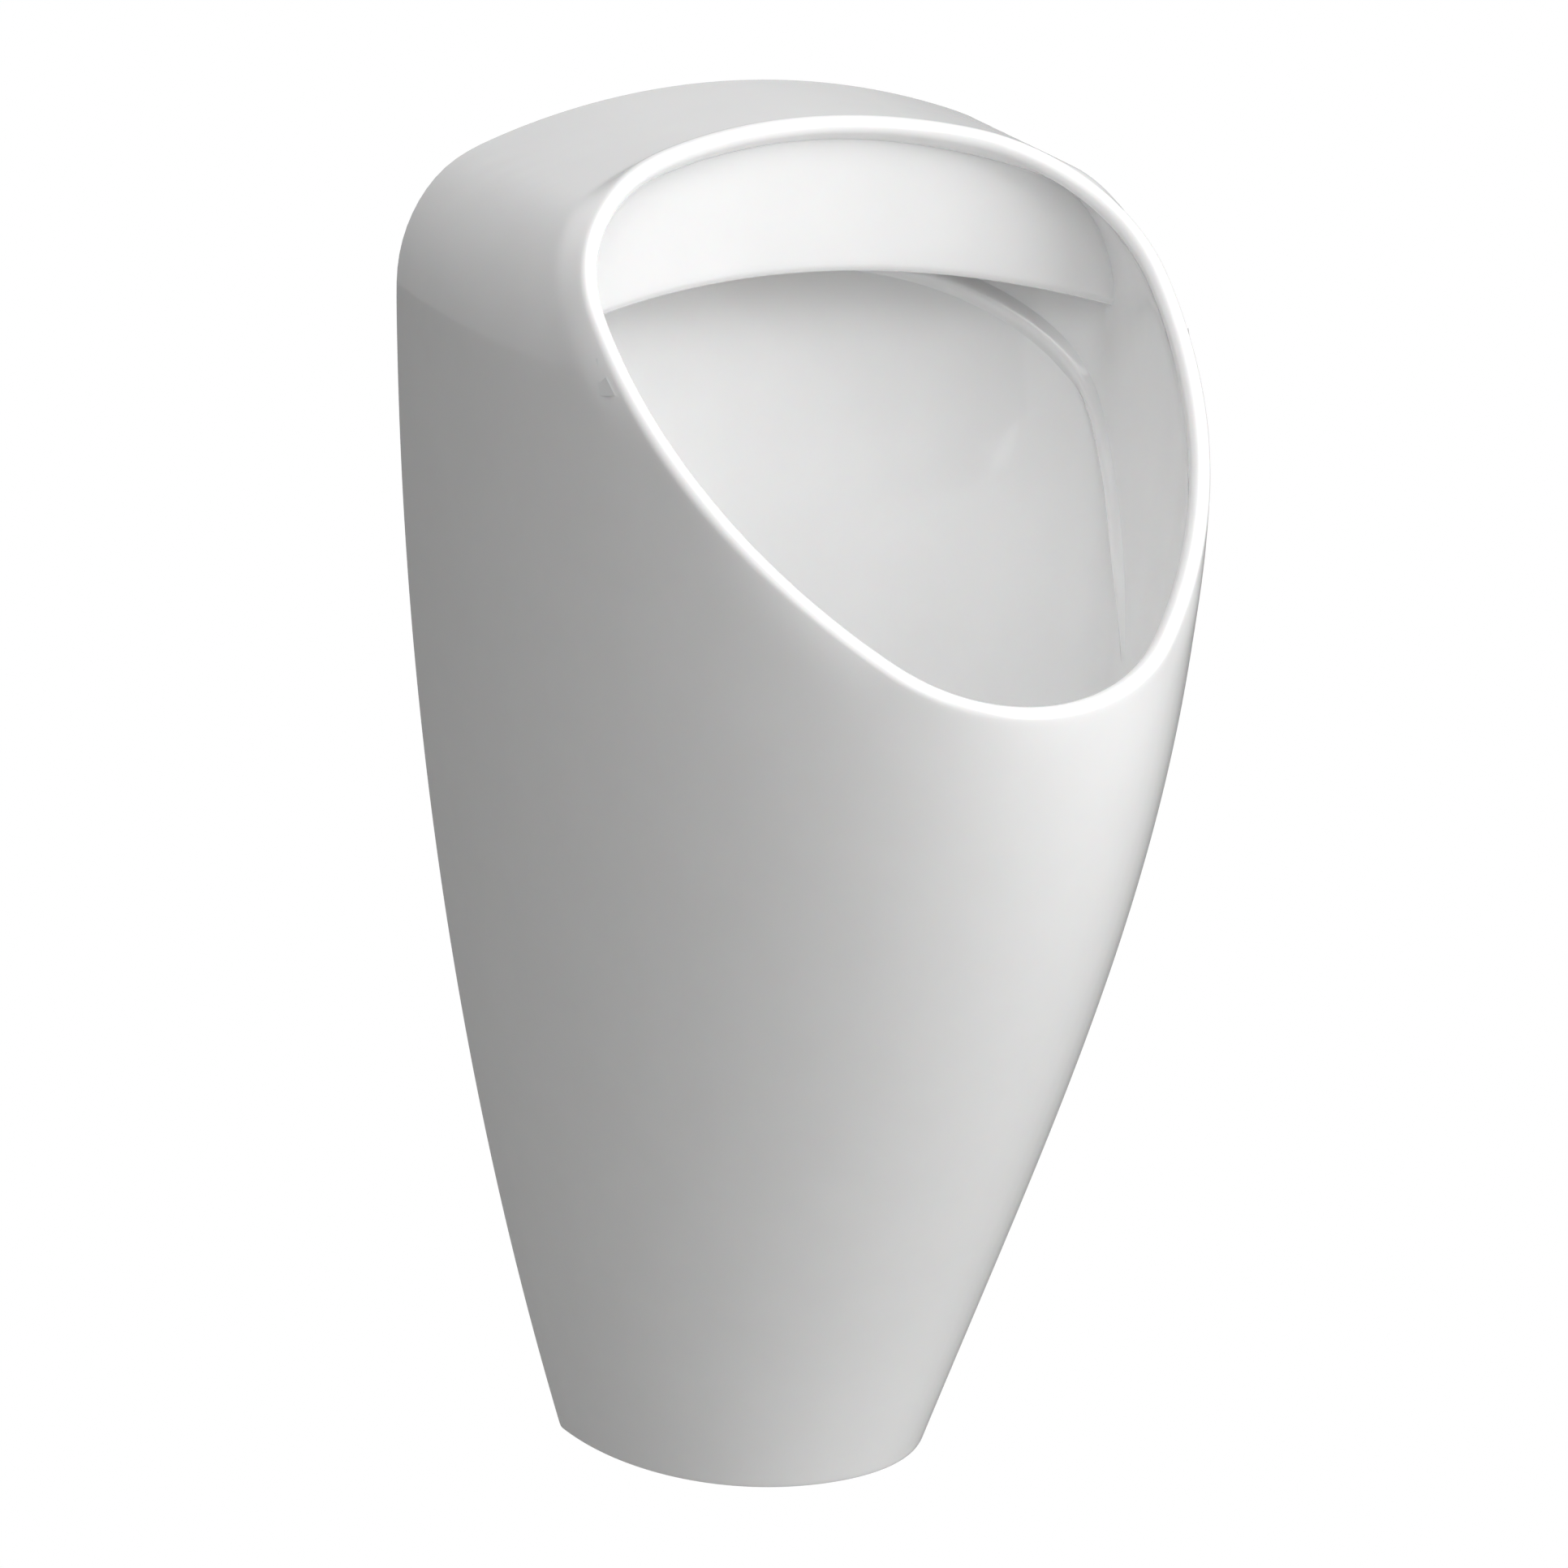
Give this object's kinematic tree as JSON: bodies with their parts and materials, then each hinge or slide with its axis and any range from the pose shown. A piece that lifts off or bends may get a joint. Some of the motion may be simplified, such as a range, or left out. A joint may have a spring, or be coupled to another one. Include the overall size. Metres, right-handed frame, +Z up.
{
  "type": "wall hung urinal",
  "caption": "Wall hung bowl urinal of white glazed vitreous china with a slanting rolled-rim mouth, concealed rear flush inlet, lift-out strainer and bottle trap to the wall.",
  "frame": {"origin": "on the wall plane, midway between the hanger bracket screws", "axes": "+X to the right seen from the front, -Y out of the wall towards the user, +Z up"},
  "size_m": [0.325, 0.35, 0.645],
  "materials": {
    "glazed_china": "white gloss glaze",
    "zinc_plated_steel": "bright zinc plate",
    "pad_rubber": "matt",
    "white_nylon": "matt",
    "black_rubber": "matt",
    "brass": "turned",
    "chromed_brass": "polished chrome plate",
    "stainless_steel": "brushed",
    "white_polypropylene": "satin moulded",
    "grey_pipe": "extruded"
  },
  "bodies": {
    "bowl": {"ceramic_body": "glazed_china", "hanger_bracket_left": "zinc_plated_steel", "hanger_bracket_right": "zinc_plated_steel", "hanger_pads": "pad_rubber", "fixing_sleeves": "white_nylon", "inlet_seal": "black_rubber", "spreader_body": "brass", "spreader_gasket": "black_rubber", "spreader_cap": "chromed_brass", "spreader_screw": "stainless_steel", "spreader_nut": "brass", "waste_gasket": "black_rubber", "waste_flange": "chromed_brass", "waste_washer": "black_rubber", "waste_backnut": "white_polypropylene", "trap_head": "white_polypropylene", "dip_tube": "white_polypropylene", "outlet_pipe": "grey_pipe", "wall_collar": "black_rubber"},
    "strainer": {"strainer": "stainless_steel"},
    "cup_carriage": {"cup_seal": "black_rubber"},
    "cup": {"trap_cup": "white_polypropylene"},
    "slip_carriage": {"slip_cone": "black_rubber"},
    "slip_nut": {"slip_nut": "white_polypropylene"},
    "outlet_carriage": {"outlet_wedge_ring": "black_rubber"},
    "outlet_nut": {"outlet_nut": "white_polypropylene"}
  },
  "joints": [
    {"name": "strainer_lift", "type": "slide", "parent": "bowl", "child": "strainer", "axis": [0, 0, 1], "range_m": [0, 0.06]},
    {"name": "cup_travel", "type": "slide", "parent": "bowl", "child": "cup_carriage", "axis": [0, 0, -1], "range_m": [0, 0.012]},
    {"name": "cup_turn", "type": "hinge", "parent": "cup_carriage", "child": "cup", "pos_m": [0, -0.095, -0.442], "axis": [0, 0, -1], "range_deg": [0, 1080.5]},
    {"name": "slip_nut_travel", "type": "slide", "parent": "bowl", "child": "slip_carriage", "axis": [0, 0, 1], "range_m": [0, 0.01]},
    {"name": "slip_nut_turn", "type": "hinge", "parent": "slip_carriage", "child": "slip_nut", "pos_m": [0, -0.095, -0.306], "axis": [0, 0, 1], "range_deg": [0, 900.5]},
    {"name": "outlet_nut_travel", "type": "slide", "parent": "bowl", "child": "outlet_carriage", "axis": [0, 1, 0], "range_m": [0, 0.01]},
    {"name": "outlet_nut_turn", "type": "hinge", "parent": "outlet_carriage", "child": "outlet_nut", "pos_m": [0, -0.03, -0.377], "axis": [0, 1, 0], "range_deg": [0, 900.5]}
  ],
  "couplings": [
    {"joint": "cup_turn", "follows": "cup_travel", "rad_per_m": 1570.8},
    {"joint": "slip_nut_turn", "follows": "slip_nut_travel", "rad_per_m": 1570.8},
    {"joint": "outlet_nut_turn", "follows": "outlet_nut_travel", "rad_per_m": 1570.8}
  ]
}
